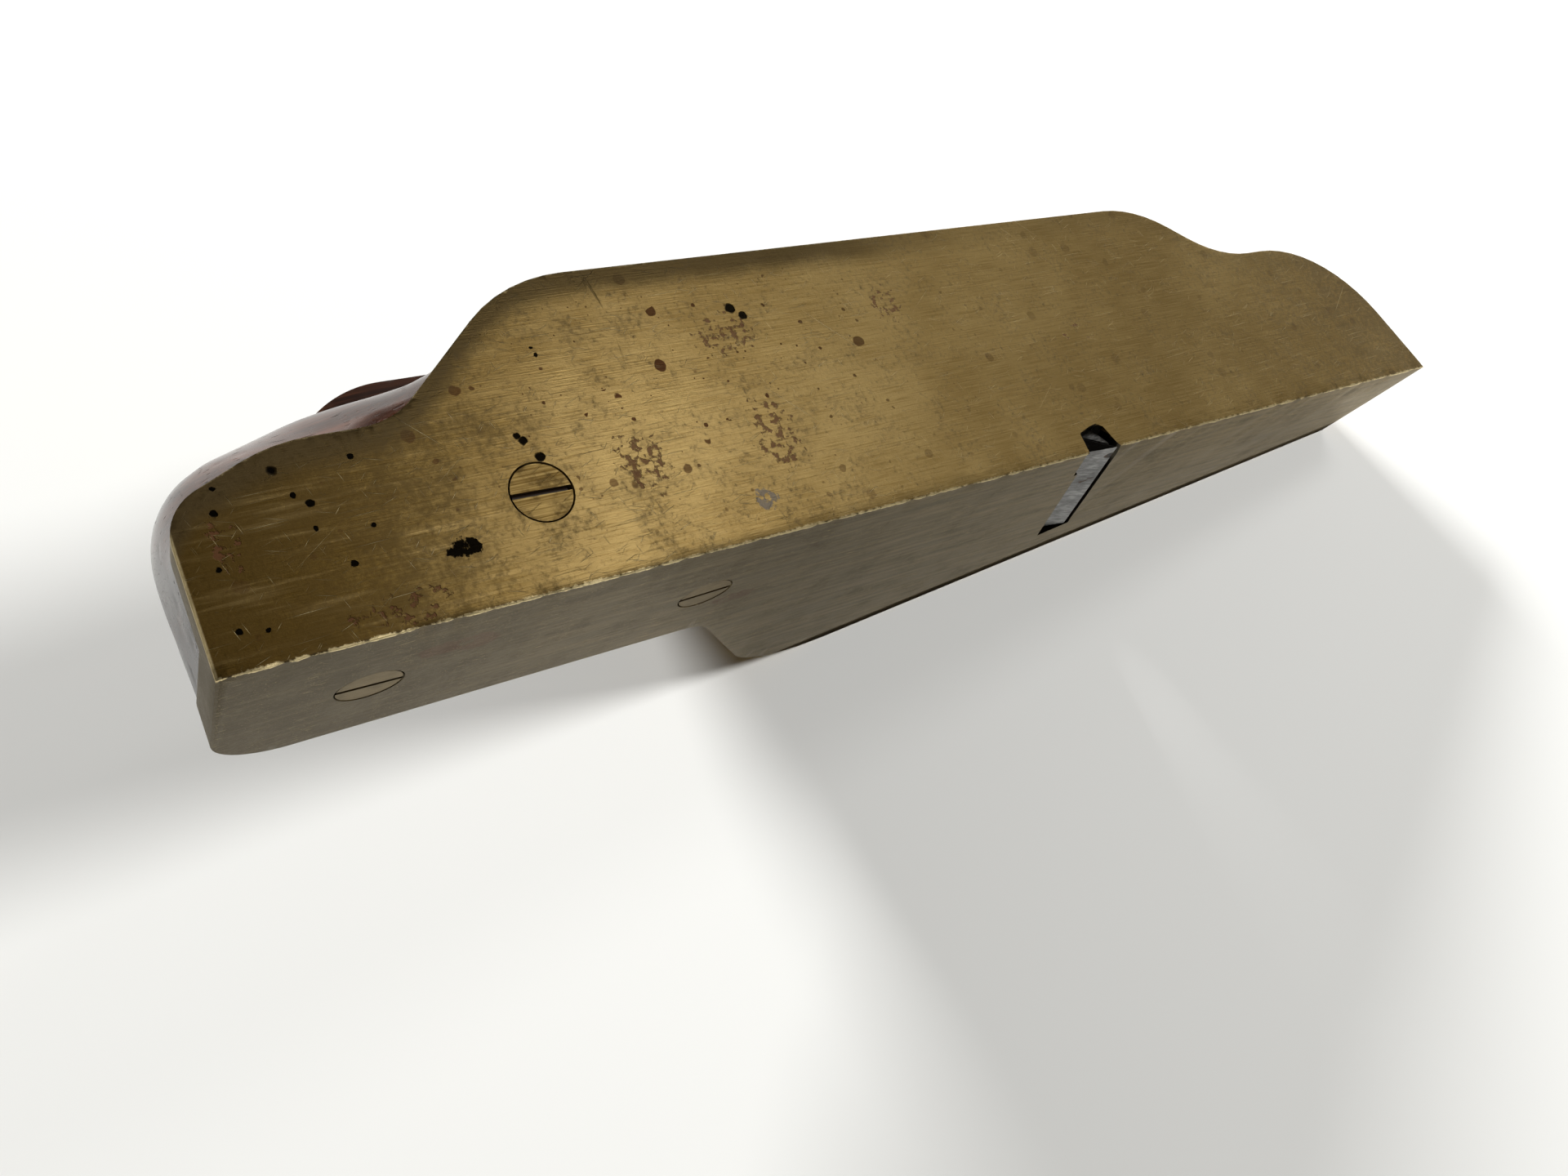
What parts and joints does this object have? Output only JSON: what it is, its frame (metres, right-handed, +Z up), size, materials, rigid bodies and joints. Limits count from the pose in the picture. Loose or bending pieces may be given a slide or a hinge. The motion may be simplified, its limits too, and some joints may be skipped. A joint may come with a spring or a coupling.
{
  "type": "hand plane",
  "caption": "Small skew-mouth infill hand plane: gunmetal body flared on one side, dark wood stuffing, and a skewed iron with cap iron held by a wooden wedge.",
  "frame": {"origin": "middle of the bounding box's footprint, on the sole plane", "axes": "+Z up off the sole, +X towards the toe, the flat near cheek facing -Y"},
  "size_m": [0.2054, 0.064, 0.0555],
  "materials": {
    "gunmetal": "brushed lengthwise, scratched, pitted and stained, bright worn edges",
    "infill_wood": "dark red-brown, polished by the hand",
    "wedge_wood": "dark red-brown, worn satin",
    "tool_steel": "ground steel, dull grey with rust spots",
    "screw_steel": "turned steel, dull",
    "screw_brass": "filed flush with the casting, scratched, dark slots"
  },
  "bodies": {
    "body": {"body_casting": "gunmetal", "rear_infill": "infill_wood", "bed_infill": "infill_wood", "front_infill": "infill_wood", "side_screw": "screw_brass", "sole_screw_rear": "screw_brass", "sole_screw_front": "screw_brass"},
    "wedge": {"wedge": "wedge_wood"},
    "iron": {"cutting_iron": "tool_steel"},
    "cap": {"cap_iron": "tool_steel"},
    "screw": {"cap_screw": "screw_steel"}
  },
  "joints": [
    {"name": "wedge_slide", "type": "slide", "parent": "body", "child": "wedge", "axis": [-0.7021, 0.3577, 0.6157], "range_m": [0, 0.04]},
    {"name": "iron_slide", "type": "slide", "parent": "body", "child": "iron", "axis": [-0.7021, 0.3577, 0.6157], "range_m": [-0.0004, 0.016]},
    {"name": "cap_iron_slide", "type": "slide", "parent": "iron", "child": "cap", "axis": [-0.7021, 0.3577, 0.6157], "range_m": [0, 0.007]},
    {"name": "cap_screw_turn", "type": "hinge", "parent": "cap", "child": "screw", "pos_m": [0.00083, -0.00021, 0.02596], "axis": [0.5486, -0.2795, 0.788], "continuous": true}
  ]
}
